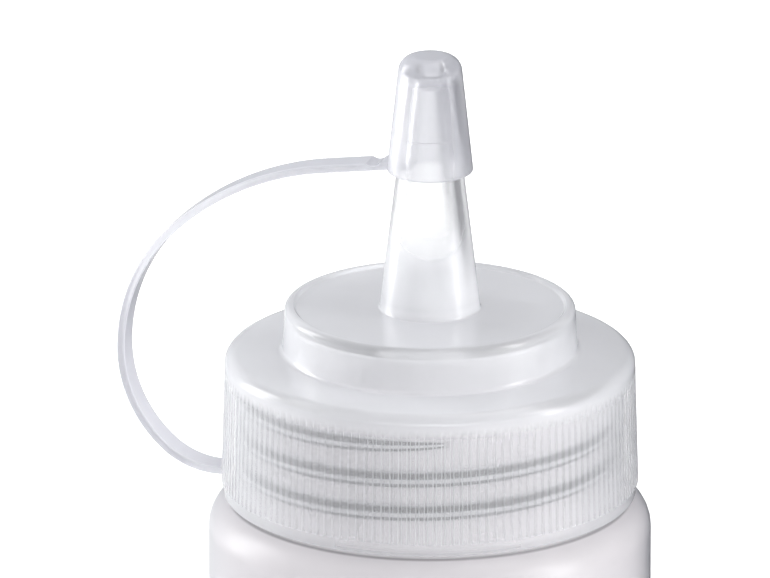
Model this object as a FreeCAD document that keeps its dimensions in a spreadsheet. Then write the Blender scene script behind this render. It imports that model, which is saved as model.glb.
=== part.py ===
"""A squeeze bottle for sauces: a thin-walled translucent bottle, a ribbed screw cap with a conical
nozzle, and a tip cap that hangs on the screw cap by a moulded strap.

The frame: millimetres, +Z up, origin at the centre of the bottle's foot, and the bottle's axis on Z.
Seen from -Y, the strap loops out to the left and a little to the back.
"""

import FreeCAD, Part
import math
import os

import Sketcher

# ---------------------------------------------------------------------------------------------
# Driving dimensions, in millimetres and degrees. Each is a cell of the sheet, and every feature
# reads the cells by their aliases, so a size changed there carries through all that fits to it.
# ---------------------------------------------------------------------------------------------
SIZES = [
    # the blown bottle
    ("bottle_dia", 57.0, "outside diameter of the bottle's straight wall"),
    ("bottle_height", 140.55, "from the foot to the flat of the shoulder"),
    ("bottle_wall", 1.0, "wall of the bottle's body"),
    ("shoulder_round", 4.4, "outer rounding between the body and the shoulder"),
    ("heel_round", 4.0, "outer rounding between the body and the foot"),
    ("foot_width", 3.5, "flat ring that the bottle stands on"),
    ("push_up", 1.6, "rise of the base inside the foot ring"),
    ("push_up_slope", 5.0, "how far the base slopes inwards before it is flat"),
    ("base_wall", 1.4, "thickness of the base"),
    ("shoulder_step", 4.9, "from the bottle's wall in to the neck, without its thread"),
    ("neck_wall", 1.2, "wall of the neck"),
    ("neck_round", 0.4, "rounding of the neck's root and lip"),
    # the screw cap
    ("cap_gap", 0.25, "between the bottle's shoulder and the cap's lower rim"),
    ("cap_height", 18.8, "skirt of the cap, from its lower rim to its shoulder's edge"),
    ("thread_room", 1.4, "between the neck and the skirt's bore, for the screw thread"),
    ("skirt_wall", 1.5, "wall of the skirt at its smooth lip band"),
    ("lip_height", 1.7, "height of that band at the lower rim"),
    ("lip_round", 0.3, "rounding of the lower rim"),
    ("rib_stand", 0.35, "how far the ribs' feet stand out from the lip band"),
    ("skirt_draft", 0.5, "how far the skirt leans in from the ribs' feet to its top edge"),
    ("cap_edge_round", 1.5, "rounding of the shoulder's edge"),
    ("cap_roof", 1.5, "thickness of the cap's shoulder"),
    ("shoulder_rise", 0.5, "rise of the cap's shoulder towards the collar"),
    ("rib_count", 150, "grip ribs around the skirt"),
    ("rib_groove_width", 0.4, "groove between two ribs"),
    ("rib_groove_depth", 0.4, "depth of that groove"),
    ("rib_stop", 1.9, "plain height between the ribs' ends and the shoulder's edge"),
    ("rib_runout", 1.8, "height over which a groove runs out"),
    ("collar_foot_dia", 38.0, "raised collar where it leaves the shoulder"),
    ("collar_head_dia", 37.3, "raised collar at its rim"),
    ("collar_rise", 5.96, "from the shoulder at the collar's foot to its rim"),
    ("collar_round", 0.85, "rounding of the collar's rim"),
    ("collar_wall", 1.4, "wall of the collar and its disc"),
    ("rim_width", 1.5, "raised rim around the collar's disc"),
    ("rim_height", 0.4, "how far that rim stands above the disc"),
    # the nozzle
    ("nozzle_height", 31.5, "from the collar's disc to the nozzle's mouth"),
    ("nozzle_foot_dia", 13.0, "nozzle at the disc"),
    ("nozzle_head_dia", 5.5, "nozzle at its mouth"),
    ("nozzle_foot_wall", 1.3, "wall of the nozzle at its foot"),
    ("nozzle_mouth_dia", 2.8, "opening of the nozzle"),
    ("nozzle_root_round", 0.6, "rounding between the nozzle and the disc"),
    ("nozzle_lip_round", 0.3, "rounding of the nozzle's mouth"),
    # the tip cap
    ("tip_cover", 13.1, "length of the nozzle that the tip cap covers"),
    ("tip_clearance", 0.1, "between the nozzle and the tip cap's bore"),
    ("tip_crown", 2.3, "thickness of the tip cap's crown"),
    ("tip_foot_dia", 11.1, "tip cap at its lower rim"),
    ("tip_head_dia", 7.8, "tip cap at its crown, before the rounding"),
    ("tip_crown_round", 2.1, "rounding of the crown"),
    ("tip_foot_round", 0.5, "outer rounding of the lower rim"),
    ("tip_relief_length", 4.9, "wider entry of the bore"),
    ("tip_relief", 0.2, "how much wider the entry's radius is"),
    ("plug_length", 2.0, "sealing plug that stands in the nozzle's mouth"),
    ("plug_clearance", 0.1, "between the plug and the mouth"),
    # the strap between the tip cap and the screw cap
    ("strap_turn", 163.5, "direction of the strap's loop, counter-clockwise from +X"),
    ("strap_width", 3.7, "across the loop's plane"),
    ("strap_thick", 1.0, "in the loop's plane"),
    ("strap_lift", 0.05, "strap's underside above the rims that it leaves"),
    ("strap_root", 0.6, "how far the strap runs into the tip cap's wall"),
    ("strap_droop", 8.0, "angle below level at which the strap leaves the tip cap"),
    ("strap_lead", 9.0, "straight stretch beside the tip cap"),
    ("strap_upper_sweep", 46.0, "sweep of the arc above the loop's widest point"),
    ("strap_reach", 14.0, "from the land to the middle of the strap at its widest"),
    ("strap_reach_height", 15.95, "height of that point above the screw cap's lower rim"),
    ("strap_lower_sweep", 48.0, "sweep of the arc below the loop's widest point"),
    ("strap_tail", 1.2, "level stretch beside the screw cap"),
    ("land_stand", 0.5, "flat land on the lip band that carries the strap's foot"),
    ("land_margin", 0.35, "land around the strap's foot, on each side"),
    ("hinge_round", 1.3, "radius of the scallop that makes the strap's hinge"),
    ("hinge_depth", 0.4, "depth of that scallop"),
    ("hinge_place", 1.5, "from the tip cap's wall to the middle of the scallop"),
]

doc = FreeCAD.newDocument("squeeze_bottle")
sheet = doc.addObject("Spreadsheet::Sheet", "Sizes")
for row, (alias, value, note) in enumerate(SIZES, start=1):
    sheet.set(f"A{row}", alias)
    sheet.set(f"B{row}", str(value))
    sheet.set(f"C{row}", note)
    sheet.setAlias(f"B{row}", alias)
doc.recompute()

# Heights and radii that more than one sub-part uses, as formulas of the cells.
BODY_R = "(Sizes.bottle_dia / 2)"
NECK_R = f"({BODY_R} - Sizes.shoulder_step)"
SKIRT_R = f"({NECK_R} + Sizes.thread_room)"
LIP_R = f"({SKIRT_R} + Sizes.skirt_wall)"
CAP_FOOT = "(Sizes.bottle_height + Sizes.cap_gap)"  # the cap's lower rim, above the foot
CAP_CEILING = "(Sizes.cap_height - Sizes.cap_roof)"  # these four are above the cap's lower rim
COLLAR_FOOT = "(Sizes.cap_height + Sizes.shoulder_rise)"
COLLAR_RIM = f"({COLLAR_FOOT} + Sizes.collar_rise)"
DISC = f"({COLLAR_RIM} - Sizes.rim_height)"
TIP_FOOT = f"({DISC} + Sizes.nozzle_height - Sizes.tip_cover)"
NOZZLE_SLOPE = "((Sizes.nozzle_foot_dia - Sizes.nozzle_head_dia) / 2 / Sizes.nozzle_height)"
TIP_HEIGHT = "(Sizes.tip_cover + Sizes.tip_crown)"
LAND_R = f"({LIP_R} + Sizes.land_stand)"
STRAP_MID = "(Sizes.strap_lift + Sizes.strap_thick / 2)"  # middle of the strap above a rim


def number(formula):
    """The value of a formula of the sheet's cells."""
    value = sheet.evalExpression(formula)
    return float(getattr(value, "Value", value))


def origin_feature(body, role):
    """A body's own origin plane or axis."""
    return next(f for f in body.Origin.OriginFeatures if f.Role == role)


def new_sketch(body, name, plane="XZ_Plane"):
    """An empty sketch on one of the body's origin planes."""
    sketch = body.newObject("Sketcher::SketchObject", name)
    sketch.AttachmentSupport = [(origin_feature(body, plane), "")]
    sketch.MapMode = "FlatFace"
    return sketch


def fix_point(sketch, geometry, end, name, x, y):
    """Holds one end of a line or arc at the place that two formulas give."""
    for kind, axis, formula in (("DistanceX", "x", x), ("DistanceY", "y", y)):
        label = f"{name}_{axis}"
        index = sketch.addConstraint(
            Sketcher.Constraint(kind, -1, 1, geometry, end, number(formula))
        )
        sketch.renameConstraint(index, label)
        sketch.setExpression(f"Constraints.{label}", formula)


def profile(body, name, corners):
    """A closed outline of straight sides on the XZ plane. Each corner is a pair of formulas, and a
    third one, where there is one, is the radius that rounds it in the plane of the sketch."""
    sketch = new_sketch(body, name)
    count = len(corners)
    places = [FreeCAD.Vector(number(c[0]), number(c[1]), 0) for c in corners]
    arcs = {}
    starts, ends = list(places), places[1:] + places[:1]
    for i, corner in enumerate(corners):
        if len(corner) < 3:
            continue
        radius = number(corner[2])
        back = (places[i - 1] - places[i]).normalize()
        ahead = (places[(i + 1) % count] - places[i]).normalize()
        half = back.getAngle(ahead) / 2
        first = places[i] + back * (radius / math.tan(half))
        last = places[i] + ahead * (radius / math.tan(half))
        centre = places[i] + (back + ahead).normalize() * (radius / math.sin(half))
        middle = centre + (places[i] - centre).normalize() * radius
        arcs[i] = (first, middle, last)
        ends[i - 1], starts[i] = first, last
    for start, end in zip(starts, ends):
        sketch.addGeometry(Part.LineSegment(start, end), False)
    for i, (x, y, *radius) in enumerate(corners):
        before = (i - 1) % count
        if i not in arcs:
            sketch.addConstraint(Sketcher.Constraint("Coincident", before, 2, i, 1))
            fix_point(sketch, i, 1, f"corner{i}", x, y)
            continue
        first, middle, last = arcs[i]
        arc = sketch.addGeometry(Part.Arc(first, middle, last), False)
        point = sketch.addGeometry(Part.Point(places[i]), True)
        arc_start = 1 if sketch.getPoint(arc, 1).distanceToPoint(first) < 1e-6 else 2
        sketch.addConstraint(Sketcher.Constraint("Tangent", before, 2, arc, arc_start))
        sketch.addConstraint(Sketcher.Constraint("Tangent", arc, 3 - arc_start, i, 1))
        sketch.addConstraint(Sketcher.Constraint("PointOnObject", point, 1, before))
        sketch.addConstraint(Sketcher.Constraint("PointOnObject", point, 1, i))
        fix_point(sketch, point, 1, f"corner{i}", x, y)
        index = sketch.addConstraint(Sketcher.Constraint("Radius", arc, number(radius[0])))
        sketch.renameConstraint(index, f"round{i}")
        sketch.setExpression(f"Constraints.round{i}", radius[0])
    doc.recompute()
    return sketch


def turned(body, name, sketch, kind="PartDesign::Revolution"):
    """A full turn of a sketch about Z, added to the body or, as a Groove, taken from it."""
    feature = body.newObject(kind, name)
    feature.Profile = sketch
    feature.ReferenceAxis = (sketch, ["V_Axis"])
    feature.Angle = 360
    body.Tip = feature
    doc.recompute()
    return feature


def across(body, name, sketch, length, kind="PartDesign::Pad"):
    """A sketch on the XZ plane run out evenly to both sides, as a Pad or a Pocket."""
    feature = body.newObject(kind, name)
    feature.Profile = sketch
    feature.SideType = "Symmetric"
    feature.setExpression("Length", length)
    body.Tip = feature
    doc.recompute()
    return feature


def ring_edges(feature, places):
    """Names of a turned feature's round edges that lie at the given radii and heights."""
    wanted = [(number(radius), number(height)) for radius, height in places]
    names = []
    for index, edge in enumerate(feature.Shape.Edges, start=1):
        curve = edge.Curve
        if not isinstance(curve, Part.Circle) or abs(curve.Axis.z) < 0.999:
            continue
        if any(
            abs(curve.Radius - radius) < 1e-4 and abs(curve.Center.z - height) < 1e-4
            for radius, height in wanted
        ):
            names.append(f"Edge{index}")
    return names


def rounded(body, name, feature, radius, places):
    """A fillet on the round edges at the given radii and heights."""
    fillet = body.newObject("PartDesign::Fillet", name)
    fillet.Base = (feature, ring_edges(feature, places))
    fillet.setExpression("Radius", radius)
    body.Tip = fillet
    doc.recompute()
    return fillet


def new_body(name):
    body = doc.addObject("PartDesign::Body", name)
    body.Label = name
    return body


def build_bottle():
    """The blown bottle: a straight body on a foot ring, a rounded shoulder and a wide open neck."""
    body = new_body("bottle")
    neck_top = f"({CAP_FOOT} + {CAP_CEILING})"
    ring_out = f"({BODY_R} - Sizes.heel_round)"
    ring_in = f"({ring_out} - Sizes.foot_width)"
    dome = f"({ring_in} - Sizes.push_up_slope)"
    outer = profile(
        body,
        "bottle_outline",
        [
            ("0", "Sizes.push_up"),
            (dome, "Sizes.push_up"),
            (ring_in, "0"),
            (BODY_R, "0", "Sizes.heel_round"),
            (BODY_R, "Sizes.bottle_height", "Sizes.shoulder_round"),
            (NECK_R, "Sizes.bottle_height", "Sizes.neck_round"),
            (NECK_R, neck_top, "Sizes.neck_round"),
            ("0", neck_top),
        ],
    )
    turned(body, "bottle_form", outer)

    inner_r = f"({BODY_R} - Sizes.bottle_wall)"
    mouth_r = f"({NECK_R} - Sizes.neck_wall)"
    floor = "(Sizes.push_up + Sizes.base_wall)"
    under_shoulder = "(Sizes.bottle_height - Sizes.bottle_wall)"
    inside = profile(
        body,
        "bottle_inside",
        [
            ("0", floor),
            (dome, floor),
            (ring_in, "Sizes.base_wall"),
            (inner_r, "Sizes.base_wall", "Sizes.heel_round - Sizes.bottle_wall"),
            (inner_r, under_shoulder, "Sizes.shoulder_round - Sizes.bottle_wall"),
            (mouth_r, under_shoulder, "Sizes.neck_round"),
            (mouth_r, neck_top),
            ("0", neck_top),
        ],
    )
    turned(body, "bottle_hollow", inside, "PartDesign::Groove")
    return body


def build_screw_cap():
    """The screw cap: a ribbed skirt, a raised collar with a dished disc, and the conical nozzle.
    Its own zero is its lower rim, and its strap land is on +X until the cap is turned."""
    body = new_body("screw_cap")
    nozzle_top = f"({DISC} + Sizes.nozzle_height)"
    rib_foot_r = f"({LIP_R} + Sizes.rib_stand)"
    edge_r = f"({rib_foot_r} - Sizes.skirt_draft)"
    collar_foot_r = "(Sizes.collar_foot_dia / 2)"
    collar_head_r = "(Sizes.collar_head_dia / 2)"
    collar_bore = f"({collar_head_r} - Sizes.collar_wall)"
    collar_ceiling = f"({DISC} - Sizes.collar_wall)"
    disc_r = f"({collar_head_r} - Sizes.rim_width)"
    nozzle_foot_r = "(Sizes.nozzle_foot_dia / 2)"
    nozzle_head_r = "(Sizes.nozzle_head_dia / 2)"
    mouth_r = "(Sizes.nozzle_mouth_dia / 2)"
    nozzle_bore = f"({nozzle_foot_r} - Sizes.nozzle_foot_wall)"
    section = profile(
        body,
        "cap_section",
        [
            (SKIRT_R, "0"),
            (LIP_R, "0"),
            (LIP_R, "Sizes.lip_height"),
            (rib_foot_r, "Sizes.lip_height"),
            (edge_r, "Sizes.cap_height"),
            (collar_foot_r, COLLAR_FOOT),
            (collar_head_r, COLLAR_RIM),
            (f"({disc_r} + Sizes.rim_height)", COLLAR_RIM),
            (disc_r, DISC),
            (nozzle_foot_r, DISC),
            (nozzle_head_r, nozzle_top),
            (mouth_r, nozzle_top),
            (nozzle_bore, collar_ceiling),
            (collar_bore, collar_ceiling),
            (collar_bore, CAP_CEILING),
            (SKIRT_R, CAP_CEILING),
        ],
    )
    form = turned(body, "cap_form", section)
    form = rounded(
        body, "cap_edge", form, "Sizes.cap_edge_round", [(edge_r, "Sizes.cap_height")]
    )
    form = rounded(body, "collar_rim", form, "Sizes.collar_round", [(collar_head_r, COLLAR_RIM)])
    form = rounded(body, "lip_edge", form, "Sizes.lip_round", [(LIP_R, "0")])
    form = rounded(
        body,
        "roots",
        form,
        "Sizes.nozzle_root_round",
        [(nozzle_foot_r, DISC), (collar_foot_r, COLLAR_FOOT)],
    )
    rounded(body, "nozzle_lip", form, "Sizes.nozzle_lip_round", [(nozzle_head_r, nozzle_top)])

    # One groove, cut down through the skirt's face and run out below the shoulder, then repeated.
    outside = f"({rib_foot_r} + 1)"
    rib_top = "(Sizes.cap_height - Sizes.rib_stop)"
    run_start = f"({rib_top} - Sizes.rib_runout)"
    drift = (
        f"(Sizes.skirt_draft / (Sizes.cap_height - Sizes.lip_height)"
        f" * ({run_start} - Sizes.lip_height))"
    )
    groove = profile(
        body,
        "groove_outline",
        [
            (f"({rib_foot_r} - Sizes.rib_groove_depth)", "Sizes.lip_height"),
            (outside, "Sizes.lip_height"),
            (outside, rib_top),
            (f"({rib_foot_r} - {drift})", rib_top),
            (f"({rib_foot_r} - Sizes.rib_groove_depth - {drift})", run_start),
        ],
    )
    cut = across(body, "rib_groove", groove, "Sizes.rib_groove_width", "PartDesign::Pocket")
    ring = body.newObject("PartDesign::PolarPattern", "rib_grooves")
    ring.Originals = [cut]
    ring.Axis = (origin_feature(body, "Z_Axis"), [""])
    ring.Angle = 360
    ring.setExpression("Occurrences", "Sizes.rib_count")
    body.Tip = ring
    doc.recompute()

    # The land: a small flat on the lip band, for the strap's foot.
    land = profile(
        body,
        "land_outline",
        [
            (f"({SKIRT_R} + Sizes.neck_round)", "Sizes.lip_round"),
            (LAND_R, "Sizes.strap_lift"),
            (LAND_R, "(Sizes.strap_lift + Sizes.strap_thick + Sizes.land_margin)"),
            (f"({SKIRT_R} + Sizes.neck_round)", "(Sizes.lip_height - Sizes.lip_round)"),
        ],
    )
    across(body, "strap_land", land, "Sizes.strap_width + 2 * Sizes.land_margin")

    body.Placement = FreeCAD.Placement(
        FreeCAD.Vector(0, 0, number(CAP_FOOT)),
        FreeCAD.Rotation(FreeCAD.Vector(0, 0, 1), number("Sizes.strap_turn")),
    )
    body.setExpression("Placement.Base.z", CAP_FOOT)
    body.setExpression("Placement.Rotation.Angle", "Sizes.strap_turn * 1 deg")
    return body


def strap_path(body):
    """The strap's middle line, from the land on the screw cap round to the tip cap's wall: a level
    tail, two arcs out to the widest point, two arcs back over it, and a straight lead. The sweeps
    and the three fixed points are given, and the arcs' radii follow from them."""
    foot_x, foot_y = number(LAND_R), number(f"({STRAP_MID} - {TIP_FOOT})")
    tail_x = foot_x + number("Sizes.strap_tail")
    wide_x = foot_x + number("Sizes.strap_reach")
    wide_y = number(f"(Sizes.strap_reach_height - {TIP_FOOT})")
    droop = math.radians(number("Sizes.strap_droop"))
    root_x = number("(Sizes.tip_foot_dia / 2 - Sizes.strap_root)")
    root_y = number(STRAP_MID)
    lead = number("Sizes.strap_lead")
    lead_x = root_x + lead * math.cos(droop)
    lead_y = root_y - lead * math.sin(droop)
    lower = math.radians(number("Sizes.strap_lower_sweep"))
    upper = math.radians(number("Sizes.strap_upper_sweep"))

    def pair(start, middle, end, dx, dy):
        """Radii of two tangent arcs that cover dx and dy between three headings."""
        ax, ay = math.sin(middle) - math.sin(start), math.cos(start) - math.cos(middle)
        bx, by = math.sin(end) - math.sin(middle), math.cos(middle) - math.cos(end)
        scale = ax * by - ay * bx
        return (dx * by - dy * bx) / scale, (ax * dy - ay * dx) / scale

    quarter = math.pi / 2
    turns = [0, quarter - lower, quarter, quarter + upper, math.pi - droop]
    foot_radius, low_radius = pair(*turns[0:3], wide_x - tail_x, wide_y - foot_y)
    high_radius, top_radius = pair(*turns[2:5], lead_x - wide_x, lead_y - wide_y)
    radii = [foot_radius, low_radius, high_radius, top_radius]

    sketch = new_sketch(body, "strap_line")
    place = FreeCAD.Vector(tail_x, foot_y, 0)
    sketch.addGeometry(Part.LineSegment(FreeCAD.Vector(foot_x, foot_y, 0), place), False)
    for radius, start, end in zip(radii, turns, turns[1:]):
        centre = place + FreeCAD.Vector(-math.sin(start), math.cos(start), 0) * radius
        circle = Part.Circle(centre, FreeCAD.Vector(0, 0, 1), radius)
        sketch.addGeometry(Part.ArcOfCircle(circle, start - quarter, end - quarter), False)
        place = centre + FreeCAD.Vector(math.sin(end), -math.cos(end), 0) * radius
    sketch.addGeometry(Part.LineSegment(place, FreeCAD.Vector(root_x, root_y, 0)), False)

    tail, foot_arc, low_arc, high_arc, top_arc, lead_line = range(6)
    for first in range(5):
        sketch.addConstraint(Sketcher.Constraint("Tangent", first, 2, first + 1, 1))
    sketch.addConstraint(Sketcher.Constraint("Horizontal", tail))
    fix_point(sketch, tail, 1, "foot", LAND_R, f"{STRAP_MID} - {TIP_FOOT}")
    fix_point(
        sketch, low_arc, 2, "widest", f"{LAND_R} + Sizes.strap_reach",
        f"Sizes.strap_reach_height - {TIP_FOOT}",
    )
    fix_point(sketch, lead_line, 2, "root", "Sizes.tip_foot_dia / 2 - Sizes.strap_root", STRAP_MID)
    sketch.addConstraint(Sketcher.Constraint("Horizontal", low_arc, 3, low_arc, 2))
    named = [
        ("tail_length", Sketcher.Constraint("Distance", tail, number("Sizes.strap_tail")),
         "Sizes.strap_tail"),
        ("lead_length", Sketcher.Constraint("Distance", lead_line, lead), "Sizes.strap_lead"),
        ("lower_sweep", Sketcher.Constraint("Angle", low_arc, lower),
         "Sizes.strap_lower_sweep * 1 deg"),
        ("upper_sweep", Sketcher.Constraint("Angle", high_arc, upper),
         "Sizes.strap_upper_sweep * 1 deg"),
        ("droop", Sketcher.Constraint("Angle", lead_line, math.pi - droop),
         "180 deg - Sizes.strap_droop * 1 deg"),
    ]
    for name, constraint, formula in named:
        sketch.renameConstraint(sketch.addConstraint(constraint), name)
        sketch.setExpression(f"Constraints.{name}", formula)
    doc.recompute()
    print("strap arcs, from the foot:", ", ".join(f"{radius:.1f}" for radius in radii))
    return sketch


def build_tip_cap():
    """The tip cap: a tapered cup over the nozzle with a sealing plug, and its strap.
    Its own zero is its lower rim, and its strap is on +X until the cap is turned."""
    body = new_body("tip_cap")
    foot_r = "(Sizes.tip_foot_dia / 2)"
    head_r = "(Sizes.tip_head_dia / 2)"
    plug_r = "(Sizes.nozzle_mouth_dia / 2 - Sizes.plug_clearance)"
    bore_top = "(Sizes.nozzle_head_dia / 2 + Sizes.tip_clearance)"
    bore_step = f"({bore_top} + {NOZZLE_SLOPE} * (Sizes.tip_cover - Sizes.tip_relief_length))"
    bore_foot = f"({bore_top} + {NOZZLE_SLOPE} * Sizes.tip_cover + Sizes.tip_relief)"
    section = profile(
        body,
        "tip_section",
        [
            ("0", TIP_HEIGHT),
            ("0", "(Sizes.tip_cover - Sizes.plug_length)"),
            (plug_r, "(Sizes.tip_cover - Sizes.plug_length)"),
            (plug_r, "Sizes.tip_cover"),
            (bore_top, "Sizes.tip_cover"),
            (bore_step, "Sizes.tip_relief_length"),
            (f"({bore_step} + Sizes.tip_relief)", "Sizes.tip_relief_length"),
            (bore_foot, "0"),
            (foot_r, "0"),
            (head_r, TIP_HEIGHT),
        ],
    )
    form = turned(body, "tip_form", section)
    form = rounded(body, "crown", form, "Sizes.tip_crown_round", [(head_r, TIP_HEIGHT)])
    rounded(body, "tip_rim", form, "Sizes.tip_foot_round", [(foot_r, "0")])

    # The strap: a flat band swept along its middle line.
    path = strap_path(body)
    band = new_sketch(body, "strap_band", "YZ_Plane")
    band.AttachmentOffset = FreeCAD.Placement(
        FreeCAD.Vector(0, 0, number(LAND_R)), FreeCAD.Rotation()
    )
    band.setExpression("AttachmentOffset.Base.z", LAND_R)
    half_width = "(Sizes.strap_width / 2)"
    low = f"(Sizes.strap_lift - {TIP_FOOT})"
    high = f"({low} + Sizes.strap_thick)"
    corners = [
        (f"(-{half_width})", low),
        (half_width, low),
        (half_width, high),
        (f"(-{half_width})", high),
    ]
    places = [FreeCAD.Vector(number(x), number(y), 0) for x, y in corners]
    for start, end in zip(places, places[1:] + places[:1]):
        band.addGeometry(Part.LineSegment(start, end), False)
    for side, (x, y) in enumerate(corners):
        band.addConstraint(Sketcher.Constraint("Coincident", side, 2, (side + 1) % 4, 1))
        fix_point(band, side, 1, f"corner{side}", x, y)
    doc.recompute()
    strap = body.newObject("PartDesign::AdditivePipe", "strap")
    strap.Profile = band
    strap.Spine = path
    body.Tip = strap
    doc.recompute()

    # The hinge: a scallop across the strap's upper face, beside the tip cap's wall.
    scallop = new_sketch(body, "hinge_outline")
    hinge_x = f"({foot_r} + Sizes.hinge_place)"
    hinge_y = "(Sizes.strap_lift + Sizes.strap_thick - Sizes.hinge_depth + Sizes.hinge_round)"
    scallop.addGeometry(
        Part.Circle(
            FreeCAD.Vector(number(hinge_x), number(hinge_y), 0),
            FreeCAD.Vector(0, 0, 1),
            number("Sizes.hinge_round"),
        ),
        False,
    )
    fix_point(scallop, 0, 3, "centre", hinge_x, hinge_y)
    index = scallop.addConstraint(Sketcher.Constraint("Radius", 0, number("Sizes.hinge_round")))
    scallop.renameConstraint(index, "hinge_radius")
    scallop.setExpression("Constraints.hinge_radius", "Sizes.hinge_round")
    across(body, "hinge", scallop, "Sizes.strap_width * 2", "PartDesign::Pocket")

    height = f"{CAP_FOOT} + {TIP_FOOT}"
    body.Placement = FreeCAD.Placement(
        FreeCAD.Vector(0, 0, number(height)),
        FreeCAD.Rotation(FreeCAD.Vector(0, 0, 1), number("Sizes.strap_turn")),
    )
    body.setExpression("Placement.Base.z", height)
    body.setExpression("Placement.Rotation.Angle", "Sizes.strap_turn * 1 deg")
    return body


sub_parts = [build_bottle(), build_screw_cap(), build_tip_cap()]
doc.recompute()

for item in doc.Objects:
    if "Invalid" in item.State or "Error" in item.State:
        raise RuntimeError(f"{item.Label} did not build: {item.State}")
for part in sub_parts:
    shape = part.Shape
    if shape.isNull() or not shape.isValid() or len(shape.Solids) != 1:
        raise RuntimeError(f"{part.Label} is not one valid solid")

os.makedirs("parts", exist_ok=True)
for part in sub_parts:
    part.Shape.exportStep(os.path.join("parts", f"{part.Label}.step"))
    box = part.Shape.BoundBox
    print(
        f"{part.Label}: {part.Shape.Volume / 1000:.2f} cm3, {len(part.Shape.Faces)} faces,"
        f" x {box.XMin:.2f} to {box.XMax:.2f}, y {box.YMin:.2f} to {box.YMax:.2f},"
        f" z {box.ZMin:.2f} to {box.ZMax:.2f}"
    )
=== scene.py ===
# %% [markdown]
# # A squeeze bottle in milky plastic
#
# The object is a sauce bottle: a thin blown bottle, a ribbed screw cap with a conical nozzle,
# and a small tip cap on a moulded strap. Everything is round about one upright axis except
# the grip ribs, the screw thread and the strap, so almost every surface here is an outline
# turned about Z. The plastic is the other half of the work: it is milky, glossy and thin
# enough to show the screw thread through the cap's skirt.

import math

import bpy
import numpy as np
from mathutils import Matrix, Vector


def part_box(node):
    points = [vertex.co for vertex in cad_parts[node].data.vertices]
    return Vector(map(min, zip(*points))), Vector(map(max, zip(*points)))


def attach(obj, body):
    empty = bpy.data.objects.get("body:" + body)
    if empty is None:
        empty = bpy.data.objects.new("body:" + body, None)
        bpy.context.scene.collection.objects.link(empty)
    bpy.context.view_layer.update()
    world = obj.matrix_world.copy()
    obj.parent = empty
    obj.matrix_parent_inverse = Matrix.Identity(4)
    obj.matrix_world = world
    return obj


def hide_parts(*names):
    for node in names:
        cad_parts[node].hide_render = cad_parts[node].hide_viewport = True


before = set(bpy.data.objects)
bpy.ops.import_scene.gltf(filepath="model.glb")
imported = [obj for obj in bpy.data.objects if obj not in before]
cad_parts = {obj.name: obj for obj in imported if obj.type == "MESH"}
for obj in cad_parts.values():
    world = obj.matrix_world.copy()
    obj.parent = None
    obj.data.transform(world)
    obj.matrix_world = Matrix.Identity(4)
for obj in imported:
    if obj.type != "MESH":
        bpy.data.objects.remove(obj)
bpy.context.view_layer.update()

# %% [markdown]
# ## Sizes
#
# A maker would draw this bottle in millimetres, so the outlines below are in millimetres and a
# mesh is brought to metres when it is made. The heights and the widest radii are read from the
# boxes of the CAD parts, and the rest hangs on them, so a piece can't drift off its solid.

# %% Read the main heights and radii
MM = 0.001


def box_mm(node):
    """Lowest and highest corner of a CAD part, in millimetres."""
    return [np.array(corner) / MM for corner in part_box(node)]


bottle_high = box_mm("bottle")[1]
cap_low, cap_high = box_mm("screw_cap")
tip_high = box_mm("tip_cap")[1]

BODY_R = max(bottle_high[:2])
NECK_TOP = bottle_high[2]
CAP_FOOT = cap_low[2]
NOZZLE_TOP = cap_high[2]
TIP_TOP = tip_high[2]
SHOULDER = CAP_FOOT - 0.25
NECK_R = BODY_R - 4.9
SKIRT_BORE = NECK_R + 1.4
LIP_R = SKIRT_BORE + 1.5
NOZZLE_HEIGHT = 31.5
NOZZLE_FOOT_R = 6.5
NOZZLE_HEAD_R = 2.75
NOZZLE_MOUTH_R = 1.4
DISC = NOZZLE_TOP - NOZZLE_HEIGHT
TIP_FOOT = TIP_TOP - 15.4
print(f"body radius {BODY_R:.2f}, neck top {NECK_TOP:.2f}, cap foot {CAP_FOOT:.2f}")
print(f"nozzle top {NOZZLE_TOP:.2f}, tip cap {TIP_FOOT:.2f} to {TIP_TOP:.2f}")

# %% [markdown]
# ## Turning an outline into a surface
#
# A lathe shape can be made with a Screw modifier on a drawn curve, but then the roundings depend
# on the curve's handles. Here an outline is a few corners, each with its rounding, and the arcs
# are worked out exactly. Two extra points sit just before and after each arc, so that smooth
# shading keeps the flat sides flat.

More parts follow.
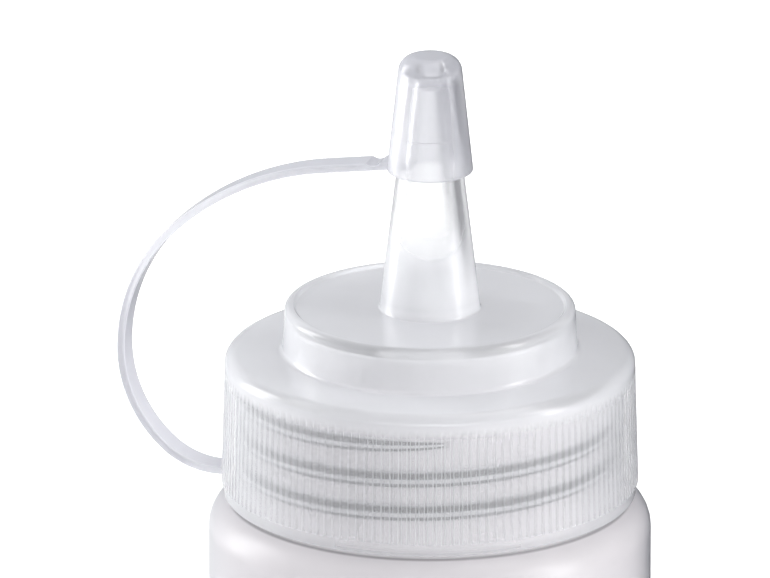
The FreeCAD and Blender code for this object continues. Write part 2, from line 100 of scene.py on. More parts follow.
# %% Outline with rounded corners
def rounded_outline(corners, closed=False, steps=6, margin=0.25):
    """Points (radius, height) along straight sides with rounded corners.

    At a corner P, with unit vectors a back along its sides and b ahead, and h half the angle
    between them, an arc of radius r starts r / tan h before P and ends r / tan h after it. Its
    centre is P + (a + b) / |a + b| * r / sin h, and its points turn evenly from one end's
    direction to the other's. Each arc has a support point a little before and after it."""
    table = np.array([(*c, 0.0)[:3] for c in corners], float)
    place, radius = table[:, :2], table[:, 2:3]
    back = np.roll(place, 1, 0) - place
    ahead = np.roll(place, -1, 0) - place
    back_length = np.linalg.norm(back, axis=1, keepdims=True)
    ahead_length = np.linalg.norm(ahead, axis=1, keepdims=True)
    back, ahead = back / back_length, ahead / ahead_length
    half = np.arccos(np.clip((back * ahead).sum(1, keepdims=True), -1, 1)) / 2
    reach = radius / np.tan(half)
    bisector = (back + ahead) / np.maximum(np.linalg.norm(back + ahead, axis=1, keepdims=True), 1e-9)
    centre = place + bisector * radius / np.sin(half)
    start, end = place + back * reach, place + ahead * reach
    turn = np.maximum(np.pi - 2 * half, 1e-6)[:, None]
    share = np.linspace(0, 1, steps + 1)[None, :, None]
    arc = centre[:, None] + (
        np.sin((1 - share) * turn) * (start - centre)[:, None]
        + np.sin(share * turn) * (end - centre)[:, None]
    ) / np.sin(turn)
    free_back = back_length - reach - np.roll(reach, 1, 0)
    free_ahead = ahead_length - reach - np.roll(reach, -1, 0)
    before = start + back * np.minimum(margin, 0.3 * free_back)
    after = end + ahead * np.minimum(margin, 0.3 * free_ahead)
    points = np.concatenate([before[:, None], arc, after[:, None]], 1).reshape(-1, 2)
    if not closed:
        points = points[1:-1]
    step = np.linalg.norm(points - np.roll(points, 1, 0), axis=1)
    return points[(step > 1e-5) | ((np.arange(len(points)) == 0) & (not closed))]


# %% Turn an outline about Z, and index the faces of a grid
def turned(outline, columns):
    """A grid of points: row i, column j is (r_i cos t_j, r_i sin t_j, z_i), with the angles t_j
    spaced evenly round the circle."""
    angle = np.arange(columns) * 2 * np.pi / columns
    radius, height = outline[:, :1], outline[:, 1:]
    return np.stack(
        [radius * np.cos(angle), radius * np.sin(angle), height + 0 * angle], -1
    )


def grid_faces(rows, columns, first=0):
    """Four corners for each cell of a grid whose columns close into a ring: (i, j), (i, j + 1),
    (i + 1, j + 1), (i + 1, j). The face looks outwards where the outline goes up."""
    here = np.arange(rows * columns).reshape(rows, columns) + first
    right = np.roll(here, -1, 1)
    cells = np.stack([here[:-1], right[:-1], right[1:], here[1:]], -1)
    return cells.reshape(-1, 4)


# %% Put points and faces into a mesh
import bmesh


def new_piece(name, points, faces, crease=32, marks=None):
    """A mesh object at the origin with its place in its mesh: points in millimetres, and lists of
    corner numbers. Marks are named values of each point, for a material to read. Points that fall
    together, as at a pole, are merged, and edges that bend more than the crease stay sharp."""
    mesh = bpy.data.meshes.new(name)
    mesh.from_pydata((points * MM).tolist(), [], faces)
    for mark, values in (marks or {}).items():
        layer = mesh.attributes.new(mark, "FLOAT", "POINT")
        layer.data.foreach_set("value", np.ravel(values).astype(np.float32))
    shape = bmesh.new()
    shape.from_mesh(mesh)
    bmesh.ops.remove_doubles(shape, verts=shape.verts, dist=1e-7)
    shape.to_mesh(mesh)
    open_edges = sum(not e.is_manifold for e in shape.edges)
    volume = shape.calc_volume(signed=True) * 1e6
    shape.free()
    mesh.shade_smooth()
    mesh.set_sharp_from_angle(angle=math.radians(crease))
    piece = bpy.data.objects.new(name, mesh)
    bpy.context.scene.collection.objects.link(piece)
    print(f"{name}: {len(mesh.polygons)} faces, {open_edges} open edges, {volume:.3f} cm3 of plastic")
    return piece


# %% [markdown]
# ## The bottle
#
# A blown bottle is one thin skin. It could be a single surface with a Solidify modifier, but the
# real wall isn't even: the neck is thicker than the body and the base is thicker still. So the
# outline runs up the outside, over the mouth, and back down the inside.

# %% The bottle's shell
BODY_WALL = 1.0
NECK_WALL = 1.2
BASE_WALL = 1.4
PUSH_UP = 1.6
HEEL_ROUND = 4.0
SHOULDER_ROUND = 4.4
foot_ring_r = BODY_R - HEEL_ROUND - 3.5
push_up_r = foot_ring_r - 5.0
neck_bore = NECK_R - NECK_WALL
body_bore = BODY_R - BODY_WALL

bottle_outline = rounded_outline(
    [
        (0, PUSH_UP),
        (push_up_r, PUSH_UP, 4),
        (foot_ring_r, 0, 1.2),
        (BODY_R, 0, HEEL_ROUND),
        (BODY_R, SHOULDER, SHOULDER_ROUND),
        (NECK_R, SHOULDER, 0.4),
        (NECK_R, NECK_TOP, 0.4),
        (neck_bore, NECK_TOP, 0.4),
        (neck_bore, SHOULDER - BODY_WALL, 0.4),
        (body_bore, SHOULDER - BODY_WALL, SHOULDER_ROUND - BODY_WALL),
        (body_bore, BASE_WALL, HEEL_ROUND - BODY_WALL),
        (foot_ring_r, BASE_WALL, 1.0),
        (push_up_r, PUSH_UP + BASE_WALL, 4),
        (0, PUSH_UP + BASE_WALL),
    ],
    steps=8,
)
BOTTLE_COLUMNS = 240
bottle_shell = new_piece(
    "bottle_shell",
    turned(bottle_outline, BOTTLE_COLUMNS).reshape(-1, 3),
    grid_faces(len(bottle_outline), BOTTLE_COLUMNS).tolist(),
)
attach(bottle_shell, "root")
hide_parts("bottle")

# %% [markdown]
# ## The neck's screw thread
#
# The thread is a rounded ridge that climbs the neck to the right, and it shows as bands through
# the cap's skirt. A Screw modifier could lift a section round the neck, but the ridge must also
# taper away at both ends. So each point of the ridge is worked out from how far it is along the
# helix and how far across the ridge.

# %% The thread's ridge
PITCH = 4.5
THREAD_TURNS = 2.55
THREAD_END = math.radians(-84)
THREAD_TOP = SHOULDER + 14.35
RIDGE_HALF_WIDTH = 1.25
RIDGE_STAND = 1.27
CREST_SHARE = 0.38


def thread_ridge(along_count=620, across_count=17):
    """A ridge on a helix. Along the helix the angle t grows evenly and the height by PITCH a turn.
    Across the ridge, w runs from -1 to 1: the height offset is w times half the ridge's width, and
    the stand-off is a hump, flat at its crest, that falls to below the neck's wall at w = -1 and
    1. Over the last stretch at each end the width narrows and the stand-off shrinks to nothing.
    The inner side is a plain wall inside the neck. It also gives w for each point of the ring."""
    share = np.linspace(0, 1, along_count)[:, None]
    across = np.linspace(-1, 1, across_count)[None, :]
    angle = THREAD_END - THREAD_TURNS * 2 * np.pi * (1 - share)
    middle = THREAD_TOP - PITCH * THREAD_TURNS * (1 - share)
    taper = np.clip(share / 0.06, 0, 1) * np.clip((1 - share) / 0.055, 0, 1)
    taper = np.sin(taper * np.pi / 2) ** 0.8
    width = RIDGE_HALF_WIDTH * (0.35 + 0.65 * taper)
    hump = np.clip((1 - np.abs(across)) / (1 - CREST_SHARE), 0, 1)
    hump = hump * hump * (3 - 2 * hump)
    radius = NECK_R - 0.12 + (RIDGE_STAND * hump) * taper
    height = middle + across * width
    front = np.stack([radius * np.cos(angle), radius * np.sin(angle), height + 0 * angle], -1)
    inner = np.broadcast_to(NECK_R - 0.3, radius[:, ::-1].shape)
    back = np.stack([inner * np.cos(angle), inner * np.sin(angle), height[:, ::-1] + 0 * angle], -1)
    ring = np.concatenate([front, back], 1)
    across_all = np.concatenate([across, across[:, ::-1]], 1)
    return ring, np.broadcast_to(across_all, ring.shape[:2])


ridge, ridge_across = thread_ridge()
rows, columns = ridge.shape[:2]
ridge_faces = grid_faces(rows, columns)[:, ::-1].tolist()
ridge_faces += [list(range(columns)), list(range(rows * columns - 1, (rows - 1) * columns - 1, -1))]
neck_thread = new_piece(
    "neck_thread", ridge.reshape(-1, 3), ridge_faces, crease=60,
    marks={"across": (ridge_across + 1) / 2},
)
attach(neck_thread, "root")

# %% [markdown]
# ## The screw cap
#
# The cap is one injection moulding: a smooth lip, a ribbed skirt, a raised collar with a dished
# disc, and the nozzle, all hollow. Its outline closes on itself. The 150 ribs need eight columns
# each, but the rest looks round with far fewer, so the skirt's face is a fine grid and the rest
# a coarse one, and each coarse edge meets four fine ones in a single face.

# %% The cap's outline, without its ribbed face
LIP_TOP = CAP_FOOT + 1.7
RIB_FOOT_R = LIP_R + 0.35
EDGE_R = RIB_FOOT_R - 0.5
CAP_EDGE = CAP_FOOT + 18.8
RIB_TOP = CAP_EDGE - 1.9
COLLAR_FOOT = CAP_EDGE + 0.5
COLLAR_FOOT_R = 19.0
COLLAR_HEAD_R = 18.65
COLLAR_TOP = DISC + 0.4
COLLAR_BORE = 17.25
CEILING = DISC - 1.4


def face_radius(height):
    """Radius of the skirt's face: it leans in evenly from the ribs' feet to the shoulder's edge."""
    return RIB_FOOT_R - (RIB_FOOT_R - EDGE_R) * (height - LIP_TOP) / (CAP_EDGE - LIP_TOP)


cap_outline = rounded_outline(
    [
        (face_radius(RIB_TOP + 0.2), RIB_TOP + 0.2),
        (EDGE_R, CAP_EDGE, 1.5),
        (COLLAR_FOOT_R, COLLAR_FOOT, 0.6),
        (COLLAR_HEAD_R, COLLAR_TOP, 0.85),
        (COLLAR_HEAD_R - 1.1, COLLAR_TOP, 0.15),
        (COLLAR_HEAD_R - 1.5, DISC, 0.15),
        (NOZZLE_FOOT_R, DISC, 0.3),
        (NOZZLE_HEAD_R, NOZZLE_TOP, 0.3),
        (NOZZLE_MOUTH_R, NOZZLE_TOP, 0.1),
        (NOZZLE_FOOT_R - 1.3, CEILING, 0.4),
        (COLLAR_BORE, CEILING, 0.5),
        (COLLAR_BORE, NECK_TOP, 0.3),
        (SKIRT_BORE, NECK_TOP, 0.5),
        (SKIRT_BORE, CAP_FOOT, 0.15),
        (LIP_R, CAP_FOOT, 0.3),
        (LIP_R, LIP_TOP),
    ],
    steps=7,
)
print(f"cap outline: {len(cap_outline)} points")

# %% The ribbed face of the skirt
RIBS = 150
COARSE, FINE = 300, 1200
GROOVE_DEPTH = 0.4
GROOVE_RUNOUT = 4.0


def ribbed_face():
    """A grid of points on the skirt, and how deep in a groove each lies, from 0 to 1. Row by row,
    the depth is full at the lip and runs out to nothing at the top like a quarter of a sine. Round
    the circle, each rib's pitch has a groove with sloping sides at its middle, so the radius is
    the face's less depth times the groove's share. The lowest row steps in to meet the lip."""
    height = np.array([0, 0.12, 0.5, 4, 8, 11.2, 12.2, 13.1, 13.9, 14.5, 14.9, 15.2])
    height = LIP_TOP + height * (RIB_TOP - LIP_TOP) / height[-1]
    runout = np.sin(np.clip((RIB_TOP - height) / GROOVE_RUNOUT, 0, 1) * np.pi / 2)
    angle = np.arange(FINE) * 2 * np.pi / FINE
    phase = np.abs((np.arange(FINE) * RIBS / FINE + 0.5) % 1 - 0.5)
    groove = np.clip((0.25 - phase) / 0.14, 0, 1)
    depth = runout[:, None] * groove
    radius = face_radius(height)[:, None] - GROOVE_DEPTH * depth
    radius[0] = np.maximum(radius[0] - 0.06, LIP_R + 0.03)
    points = np.stack(
        [radius * np.cos(angle), radius * np.sin(angle), height[:, None] + 0 * angle], -1
    )
    return points, depth


skirt, skirt_groove = ribbed_face()
print(f"ribbed face: {skirt.shape[0]} rows of {skirt.shape[1]} points")

# %% The strap's land on the lip
STRAP_TURN = math.radians(163.5)
LAND_R = LIP_R + 0.5
LAND_HALF_WIDTH = 2.6


def with_land(points):
    """The lip band with a small flat for the strap's foot: within the flat's width, a point on the
    band moves out along its own direction until it reaches the plane at LAND_R, full at the
    band's middle and fading at the edges."""
    radius = np.hypot(points[..., 0], points[..., 1])
    turn = np.arctan2(points[..., 1], points[..., 0]) - STRAP_TURN
    turn = (turn + np.pi) % (2 * np.pi) - np.pi
    side = np.clip((LAND_HALF_WIDTH - np.abs(radius * np.sin(turn))) / 0.5, 0, 1)
    level = points[..., 2] - CAP_FOOT
    band = np.clip(level / 0.1, 0, 1) * np.clip((1.55 - level) / 0.15, 0, 1)
    outer = (np.abs(radius - LIP_R) < 0.35) & (level < 1.75) & (np.cos(turn) > 0)
    target = LAND_R / np.maximum(np.cos(turn), 0.5)
    grown = radius + outer * side * band * np.maximum(target - radius, 0)
    scale = (grown / radius)[..., None]
    return np.concatenate([points[..., :2] * scale, points[..., 2:]], -1)


# %% Join the coarse grid and the ribbed face
coarse = with_land(turned(cap_outline, COARSE))
ratio = FINE // COARSE
coarse_count = coarse.shape[0] * COARSE


def step_faces(coarse_row, fine_row, upwards):
    """Faces between a coarse ring and a fine ring: each coarse edge and the fine points over it."""
    low = np.arange(COARSE)
    edge = np.stack([low, (low + 1) % COARSE], 1) + coarse_row * COARSE
    fan = (low[:, None] * ratio + np.arange(ratio, -1, -1)) % FINE + coarse_count + fine_row * FINE
    faces = np.concatenate([edge, fan], 1)
    return faces if upwards else faces[:, ::-1]


cap_faces = (
    grid_faces(coarse.shape[0], COARSE).tolist()
    + grid_faces(skirt.shape[0], FINE, first=coarse_count).tolist()
    + step_faces(coarse.shape[0] - 1, 0, True).tolist()
    + step_faces(0, skirt.shape[0] - 1, False).tolist()
)
cap_points = np.concatenate([coarse.reshape(-1, 3), skirt.reshape(-1, 3)])
cap_moulding = new_piece(
    "cap_moulding", cap_points, cap_faces,
    marks={"groove": np.concatenate([np.zeros(coarse_count), skirt_groove.ravel()])},
)
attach(cap_moulding, "root")
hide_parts("screw_cap")

# %% [markdown]
# ## The tip cap and its strap
#
# The tip cap is a small tapered cup with a sealing plug inside its crown. Its strap leaves the
# lower rim at a thin hinge, loops out and down, and ends on the cap's lip. The strap is a flat
# band with soft edges, carried along a line made of straight and evenly bent stretches, which is
# how a moulded strap lies once it is closed over the nozzle.

# %% The cup
SLOPE = (NOZZLE_FOOT_R - NOZZLE_HEAD_R) / NOZZLE_HEIGHT
TIP_FOOT_R = 5.55
PLUG_R = NOZZLE_MOUTH_R - 0.1
PLUG_FOOT = NOZZLE_TOP - 2.0
ENTRY = 4.9
bore_top = NOZZLE_HEAD_R + 0.1
bore_step = bore_top + SLOPE * 8.2
bore_foot = bore_top + SLOPE * 13.1
tip_outline = rounded_outline(
    [
        (0, PLUG_FOOT),
        (PLUG_R, PLUG_FOOT, 0.3),
        (PLUG_R, NOZZLE_TOP, 0.1),
        (bore_top, NOZZLE_TOP, 0.25),
        (bore_step, TIP_FOOT + ENTRY, 0.05),
        (bore_step + 0.2, TIP_FOOT + ENTRY, 0.05),
        (bore_foot + 0.2, TIP_FOOT, 0.1),
        (TIP_FOOT_R, TIP_FOOT, 0.3),
        (3.9, TIP_TOP, 2.1),
        (0, TIP_TOP),
    ],
    steps=9,
)
cup = turned(tip_outline, 128)
print(f"cup outline: {len(tip_outline)} points")

# %% The strap's line
def arc(sweep, radius):
    """Length and bend of an arc: the angle times the radius, and one over the radius."""
    return math.radians(sweep) * radius, 1 / radius


STRAP_RUNS = [  # length and bend of each stretch, from the lip to the tip cap
    (1.2, 0.0),
    arc(42, 10.695),
    arc(48, 17.03),
    arc(46, 23.38),
    arc(36, 36.05),
    (9.0, 0.0),
]


def strap_line(count=420):
    """Points (reach, height) and headings along the strap: the heading is the bend summed along
    the line, and the place is the heading's cosine and sine summed along it."""
    length = np.array([run[0] for run in STRAP_RUNS])
    bend = np.array([run[1] for run in STRAP_RUNS])
    ends = np.cumsum(length)
    along = (np.arange(count) + 0.5) / count * ends[-1]
    step = ends[-1] / count
    local = bend[np.searchsorted(ends, along)]
    heading = np.concatenate([[0], np.cumsum(local) * step])
    middle = (heading[1:] + heading[:-1]) / 2
    reach = LAND_R + np.concatenate([[0], np.cumsum(np.cos(middle)) * step])
    height = CAP_FOOT + 0.55 + np.concatenate([[0], np.cumsum(np.sin(middle)) * step])
    return reach, height, heading


reach, height, heading = strap_line()
print(f"strap: {sum(r[0] for r in STRAP_RUNS):.1f} mm long, ends at {reach[-1]:.2f}, {height[-1]:.2f}")

# %% The strap's band
HINGE_ROUND = 1.3
HINGE_DEPTH = 0.4


def strap_band():
    """A rounded rectangle carried along the strap's line: a point of the section moves out by its
    lift times minus the heading's sine, and up by its lift times the heading's cosine. The face
    with a negative lift is cut by a round scallop beside the cup, which makes the hinge."""
    corner = rounded_outline(
        [(1.85, -0.5, 0.22), (1.85, 0.5, 0.22), (-1.85, 0.5, 0.22), (-1.85, -0.5, 0.22)],
        closed=True,
        steps=4,
        margin=0.15,
    )
    across, lift = corner[:, 0], corner[:, 1]
    aside = reach - (TIP_FOOT_R + 1.5)
    rise = HINGE_ROUND - np.sqrt(np.clip(HINGE_ROUND**2 - aside**2, 0, None))
    scallop = np.clip(HINGE_DEPTH - rise, 0, None)
    scallop = scallop * (np.abs(aside) < HINGE_ROUND) * (height > TIP_FOOT - 3)
    lift = lift[None, :] + (lift[None, :] < 0) * scallop[:, None]
    out = reach[:, None] - np.sin(heading)[:, None] * lift
    up = height[:, None] + np.cos(heading)[:, None] * lift
    side = np.broadcast_to(across[None, :], out.shape)
    cos, sin = math.cos(STRAP_TURN), math.sin(STRAP_TURN)
    return np.stack([out * cos - side * sin, out * sin + side * cos, up], -1)


band = strap_band()
band_rows, band_columns = band.shape[:2]
cup_count = cup.shape[0] * cup.shape[1]
band_faces = grid_faces(band_rows, band_columns, first=cup_count).tolist()
band_faces += [
    (np.arange(band_columns)[::-1] + cup_count).tolist(),
    (np.arange(band_columns) + cup_count + (band_rows - 1) * band_columns).tolist(),
]
tip_and_strap = new_piece(
    "tip_cap_and_strap",
    np.concatenate([cup.reshape(-1, 3), band.reshape(-1, 3)]),
    grid_faces(cup.shape[0], cup.shape[1]).tolist() + band_faces,
    marks={"band": np.arange(cup_count + band_rows * band_columns) >= cup_count},
)
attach(tip_and_strap, "root")
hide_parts("tip_cap")

# %% [markdown]
# ## Writing a material as sums
#
# A material's node tree is easier to read as arithmetic. The class below wraps one socket, so
# that 1 - mask or mask * 0.2 adds the Math node by itself, and one method makes any other node.

# %% A wire that can be added and multiplied
class Wire:
    """One output of a node tree, used like a number."""

    def __init__(self, tree, socket=None):
        self.tree, self.socket = tree, socket

    def node(self, kind, settings=None, sockets=None, output=0):
        """Adds a node: its settings are set first, then its sockets from numbers or wires."""
        made = self.tree.nodes.new(kind)
        for name, value in (settings or {}).items():
            if name == "stops":
                while len(made.color_ramp.elements) < len(value):
                    made.color_ramp.elements.new(0.5)
                for stop, (place, shade) in zip(made.color_ramp.elements, value):
                    stop.position, stop.color = place, shade
            else:
                setattr(made, name, value)
        for name, value in (sockets or {}).items():
            if isinstance(value, Wire):
                self.tree.links.new(value.socket, made.inputs[name])
            else:
                made.inputs[name].default_value = value
        return Wire(self.tree, made.outputs[output])

    def maths(self, operation, first, second=0.0):
        return self.node("ShaderNodeMath", {"operation": operation}, {0: first, 1: second})

    def __add__(self, other):
        return self.maths("ADD", self, other)

    def __sub__(self, other):
        return self.maths("SUBTRACT", self, other)

    def __rsub__(self, other):
        return self.maths("SUBTRACT", other, self)

    def __mul__(self, other):
        return self.maths("MULTIPLY", self, other)

    def __truediv__(self, other):
        return self.maths("DIVIDE", self, other)

    def __rtruediv__(self, other):
        return self.maths("DIVIDE", other, self)

    def __pow__(self, other):
        return self.maths("POWER", self, other)

    def __rpow__(self, other):
        return self.maths("POWER", other, self)

    __radd__, __rmul__ = __add__, __mul__

    def step(self, low, high):
        """0 below low, 1 above high, and a smooth rise between them."""
        return self.node(
            "ShaderNodeMapRange", {"interpolation_type": "SMOOTHSTEP"},
            {"Value": self, "From Min": low, "From Max": high},
        )

    def split(self):
        """The three numbers of a vector."""
        parts = self.node("ShaderNodeSeparateXYZ", None, {0: self}).socket.node
        return [Wire(self.tree, parts.outputs[axis]) for axis in "XYZ"]

    def blend(self, share, first, second):
        """One colour turning into another."""
        return self.node(
            "ShaderNodeMix", {"data_type": "RGBA"}, {0: share, 6: first, 7: second}, 2
        )

    def either(self, share, first, second):
        """One shader turning into another."""
        return self.node("ShaderNodeMixShader", None, {0: share, 1: first, 2: second})

    def ray(self, kind):
        """1 for a ray of this kind, 0 for any other."""
        return self.node("ShaderNodeLightPath", output=kind)

    def mark(self, name):
        """A value that was given to the points of the mesh."""
        return self.node("ShaderNodeAttribute", {"attribute_name": name}, None, "Fac")


# %% [markdown]
# ## Milky plastic
#
# The bottle and its cap are natural polyethylene: no pigment, but the plastic scatters light, so
# it is part clear, part white. Real scattering inside the wall is slow to render. Instead each
# surface lets through a share of the light, which falls where it is met at a slant, because the
# path through the wall is longer there. The rest is scattered, partly back and partly through.
#
# What gets through a thick piece, such as the nozzle, is bent, and the bending draws its dark and
# bright edges. Through the ribbed skirt it goes straight on, as the ribs would tear the thread's
# bands to shreds, and so does the light from the lamps, because bent light is slow and noisy. The
# gloss on top follows Fresnel's law, which also mirrors a ray that comes from inside the plastic
# at too flat an angle to get out. Without it, such a place would be black.
# The wall's colour is also darkened with painted shade, where the wall turns away and where little
# light gets in.

# %% The finish that all pieces share
PLASTIC_IOR = 1.45
HEAD_ON_GLOSS = 0.04
PASS_ON = 0.35
GLOW = 0.5
# the share of the colour left under full painted shade
SHADE_SHARE = 0.06
# the dark colour of the painted shade at a wall's edge
EDGE_SHADE_COLOUR = (0.2, 0.22, 0.26, 1)
WHITE = (1, 1, 1, 1)


def nowhere(wire):
    """0 all over a piece."""
    return 0


def everywhere(wire):
    """1 all over a piece."""
    return 1


def milky(
    name, colour, haze, rim, roughness,
    blur=0.06, shade=nowhere, thick=everywhere, straight=nowhere,
):
    """Milky plastic. haze is how much one surface scatters when it is met straight on, as an
    optical depth, and thick multiplies it from place to place. A ray at a slant meets depth over
    the cosine of its angle, and what is scattered is 1 - e to the power of minus that. Lamp light
    meets only PASS_ON of the depth, because scattered light mostly carries on forwards, and GLOW
    is the share that spreads out behind the wall. rim darkens and clears the wall where it turns
    away, by the third power of how far it does; the darkening is painted shade, a dark edge
    colour mixed into the wall's colour. shade is painted shade too: the colour turns dark where
    little light gets to the plastic. What shows through is bent and blurred, except where straight
    is 1. A soft noise, cloud, makes the milkiness a little uneven, and a finer one, ripple, gives
    the gloss tiny waves."""
    material = bpy.data.materials.new(name)
    material.use_nodes = True
    tree = material.node_tree
    tree.nodes.clear()
    wire = Wire(tree)
    facing = wire.node("ShaderNodeLayerWeight", None, {"Blend": 0.5}, "Facing")
    slant = wire.maths("MAXIMUM", 1 - facing, 0.1)
    place = wire.node("ShaderNodeTexCoord", output="Object")
    cloud = wire.node(
        "ShaderNodeTexNoise", None,
        {"Vector": place, "Scale": 90.0, "Detail": 3.0, "Roughness": 0.55}, "Fac",
    )
    depth = (0.85 + cloud * 0.3) * haze
    depth = depth * thick(wire)
    lighting = wire.maths("MAXIMUM", wire.ray("Is Shadow Ray"), wire.ray("Is Diffuse Ray"))
    depth = depth * (1 - lighting * (1 - PASS_ON))
    edge = wire.maths("MINIMUM", facing ** 3.0 * rim, 0.95)
    opacity = 1 - math.e ** (-1 * depth / slant) * (1 - edge * (1 - lighting))
    tint = wire.blend(cloud, (*[c * 0.975 for c in colour], 1), (*colour, 1))
    shadow = shade(wire)
    # painted shade: the colour turns dark where the shade mask says little light gets in
    tint = wire.blend(shadow, tint, (*[c * SHADE_SHARE for c in colour], 1))
    # painted shade: the colour turns towards a dark edge colour where the wall turns away
    tint = wire.blend(edge, tint, EDGE_SHADE_COLOUR)
    ripple = wire.node(
        "ShaderNodeTexNoise", None,
        {"Vector": place, "Scale": 260.0, "Detail": 2.0, "Roughness": 0.5}, "Fac",
    )
    normal = wire.node(
        "ShaderNodeBump", None, {"Height": ripple, "Strength": 0.05, "Distance": 0.0005}, "Normal"
    )
    body = wire.node(
        "ShaderNodeBsdfPrincipled", None,
        {"Base Color": tint, "Roughness": 0.6, "Specular IOR Level": 0.0, "Normal": normal},
    )
    through = wire.node("ShaderNodeBsdfTranslucent", None, {"Color": (*colour, 1)})
    scattered = wire.either((1 - edge) * ((1 - shadow) * GLOW), body, through)
    bent = wire.node(
        "ShaderNodeBsdfRefraction", None,
        {"Color": WHITE, "IOR": PLASTIC_IOR, "Roughness": blur},
    )
    unbent = wire.node("ShaderNodeBsdfTransparent", None, {"Color": WHITE})
    passing = wire.maths("MAXIMUM", lighting, straight(wire))
    bent_gloss = wire.node("ShaderNodeFresnel", None, {"IOR": PLASTIC_IOR})
    plain_gloss = HEAD_ON_GLOSS + (1 - HEAD_ON_GLOSS) * facing ** 5.0
    mirror = bent_gloss + passing * (plain_gloss - bent_gloss)
    wall = wire.either(opacity, wire.either(passing, bent, unbent), scattered)
    sheen = wire.node(
        "ShaderNodeBsdfGlossy", None,
        {"Color": WHITE, "Roughness": roughness, "Normal": normal},
    )
    surface = wire.either(mirror, wall, sheen)
    out = tree.nodes.new("ShaderNodeOutputMaterial")
    tree.links.new(surface.socket, out.inputs["Surface"])
    print(f"{name}: {len(tree.nodes)} nodes")
    return material


# %% Where the plastic is thick or thin, and where shade is painted
# Stops of the painted shade on the thread's flanks: DARK is full painted shade, LIGHT is none.
DARK = (1, 1, 1, 1)
LIGHT = (0, 0, 0, 1)
FLANK_SHADE_STOPS = [
    (0.03, LIGHT), (0.12, DARK), (0.38, (0.9, 0.9, 0.9, 1)), (0.46, LIGHT),
    (0.58, LIGHT), (0.68, DARK), (0.84, DARK), (0.96, LIGHT),
]


def painted_flank_shade(wire):
    """Painted shade: dark where the ridge turns away below and above its crest, by how far across it a
    place is.
    """
    return wire.node("ShaderNodeValToRGB", {"stops": FLANK_SHADE_STOPS}, {"Fac": wire.mark("across")}, "Color")


def height_on(wire):
    """Height over the floor in millimetres."""
    return wire.node("ShaderNodeTexCoord", output="Object").split()[2] / MM


def under_lip(wire):
    """Little light gets into the gap between the cap's lip and the bottle's shoulder: a ring of
    radii under the lip, on the shoulder and above it."""
    x, y, z = wire.node("ShaderNodeTexCoord", output="Object").split()
    radius = wire.maths("SQRT", x * x + y * y) / MM
    ring = radius.step(LIP_R - 1.3, LIP_R - 0.8) * (1 - radius.step(LIP_R - 0.7, LIP_R - 0.35))
    return ring * (z / MM).step(SHOULDER - 1.5, SHOULDER - 1.0) * 0.7


def cap_shade(wire):
    """Painted shade: less light comes out of a groove, and out of the lip, which has no ribs to spread
    it.
    """
    lip = 1 - height_on(wire).step(LIP_TOP - 0.2, LIP_TOP)
    return wire.mark("groove") * 0.3 + lip * 0.11


def cap_haze(wire):
    """The skirt is thin, the collar and shoulder are thick, and the nozzle is nearly clear."""
    height = height_on(wire)
    above_skirt = height.step(CAP_EDGE - 3.2, CAP_EDGE - 1.7)
    foot = height.step(DISC + 0.6, DISC + 1.6)
    nozzle = height.step(DISC + 1.6, DISC + 13)
    return 0.28 + above_skirt * 0.42 - foot * 0.15 - nozzle * 0.43


def on_skirt(wire):
    """1 on the ribbed skirt, 0 from the shoulder upwards."""
    return 1 - height_on(wire).step(CAP_EDGE - 2.4, CAP_EDGE - 1.9)


def crown_on(wire):
    """1 on the tip cap's crown, 0 below it."""
    return height_on(wire).step(TIP_TOP - 3.4, TIP_TOP - 1.4)


def tip_haze(wire):
    """The cup's wall is thin, and its crown and the strap are thick."""
    return 0.27 + crown_on(wire) * 0.45 + wire.mark("band") * 0.4


def tip_shade(wire):
    """Painted shade, which makes the cup a little greyer than the strap, and its crown more so."""
    return (1 - wire.mark("band")) * (0.04 + crown_on(wire) * 0.16)


# %% The four finishes
bottle_plastic = milky(
    "bottle_plastic", (0.85, 0.825, 0.84), haze=0.9, rim=1.0, roughness=0.35,
    shade=under_lip, straight=everywhere,
)
thread_plastic = milky(
    "thread_plastic", (0.92, 0.92, 0.94), haze=2.2, rim=0.3, roughness=0.1,
    shade=painted_flank_shade, straight=everywhere,
)
cap_plastic = milky(
    "cap_plastic", (0.945, 0.95, 0.97), haze=1.0, rim=0.6, roughness=0.2, blur=0.22,
    shade=cap_shade, thick=cap_haze, straight=on_skirt,
)
tip_plastic = milky(
    "tip_plastic", (0.9, 0.9, 0.955), haze=1.0, rim=0.8, roughness=0.26, blur=0.22,
    shade=tip_shade, thick=tip_haze,
)
for piece, finish in (
    (bottle_shell, bottle_plastic),
    (neck_thread, thread_plastic),
    (cap_moulding, cap_plastic),
    (tip_and_strap, tip_plastic),
):
    piece.data.materials.append(finish)

# %% [markdown]
# ## Floor, light and camera
#
# Milky plastic shows little but light, so the room matters. A large soft lamp on the left gives
# the long highlights, and weaker ones on the right, in front and above fill the rest. The floor
# and the room could be a big white box, but then white walls would light the bottle from all
# sides and wash it out. So a Light Path node tells them what kind of ray asks: they are white to
# the camera and through clear plastic, and dimmer to a reflection and as a source of light.

# %% The floor
REACH = 4
floor_corners = [(-REACH, -REACH, 0), (REACH, -REACH, 0), (REACH, REACH, 0), (-REACH, REACH, 0)]
floor_mesh = bpy.data.meshes.new("floor")
floor_mesh.from_pydata(floor_corners, [], [(0, 1, 2, 3)])
floor = bpy.data.objects.new("floor", floor_mesh)
bpy.context.scene.collection.objects.link(floor)

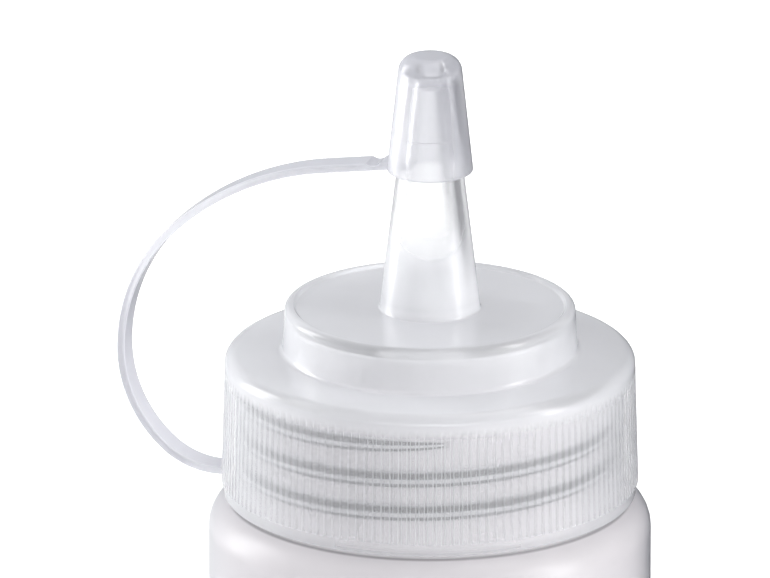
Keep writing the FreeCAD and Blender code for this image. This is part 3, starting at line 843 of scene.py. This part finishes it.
paper = bpy.data.materials.new("white_paper")
paper.use_nodes = True
paper.node_tree.nodes.clear()
wire = Wire(paper.node_tree)
seen_or_through = wire.ray("Is Camera Ray") + wire.ray("Is Transmission Ray")
matt = wire.node("ShaderNodeBsdfDiffuse", None, {"Color": (0.8, 0.8, 0.8, 1)})
lift = wire.node("ShaderNodeEmission", None, {"Strength": seen_or_through * 0.5})
both = wire.node("ShaderNodeAddShader", None, {0: matt, 1: lift})
out = paper.node_tree.nodes.new("ShaderNodeOutputMaterial")
paper.node_tree.links.new(both.socket, out.inputs["Surface"])
floor_mesh.materials.append(paper)
print(f"floor: {2 * REACH} m square, white paper")

# %% The room
SKY = (0.96, 0.975, 1, 1)
room = bpy.data.worlds.new("room")
room.use_nodes = True
room.node_tree.nodes.clear()
wire = Wire(room.node_tree)
is_camera = wire.ray("Is Camera Ray")
is_light = wire.ray("Is Diffuse Ray")
is_through = wire.ray("Is Transmission Ray") * (1 - is_light)
is_gloss = 1 - is_camera - is_light - is_through
toward_x, toward_y, toward_z = wire.node("ShaderNodeTexCoord", output="Generated").split()
right = toward_x.step(-0.4, 0.5)
top = toward_z.step(0.0, 0.8)
front = 1 - toward_y.step(-0.6, 0.2)
walls = (1 - 0.45 * right) * (1 - 0.5 * top)
seen = 1 - 0.4 * top
mirrored = walls * (0.6 + 0.3 * front)
shine = wire.node(
    "ShaderNodeBackground", None,
    {
        "Color": wire.blend(is_camera, SKY, WHITE),
        "Strength": is_camera + seen * is_through + mirrored * is_gloss + walls * is_light * 1.35,
    },
)
out = room.node_tree.nodes.new("ShaderNodeOutputWorld")
room.node_tree.links.new(shine.socket, out.inputs["Surface"])
bpy.context.scene.world = room
print(f"room: {len(room.node_tree.nodes)} nodes")

# %% [markdown]
# ## Dark cards
#
# Clear plastic in a white room has no edges. In a studio, black card stands beside it, out of
# view, and the plastic bends the card's image into a dark line. A tall card stands behind and to
# the right for the nozzle, and a small one close to the tip cap keeps light off its right side.

# %% The two cards
CARD_COLOUR = (0.05, 0.05, 0.06, 1)


def dark_card(name, start, end, low, high, mirrored=True):
    """An upright rectangle between two places, from low to high. The camera doesn't see it,
    but it shows through clear plastic, takes light away and may be mirrored."""
    (x0, y0), (x1, y1) = start, end
    mesh = bpy.data.meshes.new(name)
    corners = [(x0, y0, low), (x1, y1, low), (x1, y1, high), (x0, y0, high)]
    mesh.from_pydata(corners, [], [(0, 1, 2, 3)])
    card = bpy.data.objects.new(name, mesh)
    bpy.context.scene.collection.objects.link(card)
    card.visible_camera = False
    card.visible_glossy = mirrored
    finish = bpy.data.materials.new(name)
    finish.use_nodes = True
    card_sockets = finish.node_tree.nodes["Principled BSDF"].inputs
    card_sockets["Base Color"].default_value = CARD_COLOUR
    card_sockets["Roughness"].default_value = 0.9
    mesh.materials.append(finish)
    print(f"{name}: {high - low:.3f} m high")


dark_card("right_card", (0.056, 0.32), (0.105, -0.01), 0, 0.36)
dark_card("small_card", (0.018, -0.024), (0.013, 0.012), 0.1855, 0.208, mirrored=False)

# %% The lamps
from mathutils import Vector


def soft_lamp(name, place, size, power):
    """A rectangular lamp that looks at the cap."""
    data = bpy.data.lights.new(name, "AREA")
    data.shape = "RECTANGLE"
    data.size, data.size_y = size
    data.energy = power
    lamp = bpy.data.objects.new(name, data)
    lamp.location = place
    lamp.rotation_mode = "QUATERNION"
    lamp.rotation_quaternion = (Vector((0, 0, 0.15)) - Vector(place)).to_track_quat("-Z", "Y")
    bpy.context.scene.collection.objects.link(lamp)
    print(f"{name}: {size[0]} x {size[1]} m, {power} W")


soft_lamp("left_softbox", (-1.2, 0.5, 0.45), (0.5, 1.2), 13)
soft_lamp("right_softbox", (1.1, -0.4, 0.5), (0.25, 1.0), 8)
soft_lamp("front_softbox", (-0.3, -1.8, 0.5), (1.4, 0.8), 4)
soft_lamp("top_softbox", (0.5, 0.2, 1.5), (1.3, 1.0), 7.5)

# %% The camera
camera_data = bpy.data.cameras.new("camera")
camera_data.lens, camera_data.sensor_width = 800, 36
camera = bpy.data.objects.new("camera", camera_data)
bpy.context.scene.collection.objects.link(camera)
aim = Vector((-0.00577, 0, (NOZZLE_TOP - 29.1) * MM))
rise = math.radians(18.3)
camera.location = aim + Vector((0, -math.cos(rise), math.sin(rise))) * 2.195
camera.rotation_mode = "QUATERNION"
camera.rotation_quaternion = (aim - camera.location).to_track_quat("-Z", "Y")
camera_data.clip_end = 20
print("camera at", [round(v, 3) for v in camera.location])
bpy.context.scene.camera = camera
bpy.context.scene.view_settings.view_transform = "Standard"
bpy.context.scene.cycles.transparent_max_bounces = 40
bpy.context.scene.cycles.transmission_bounces = 8
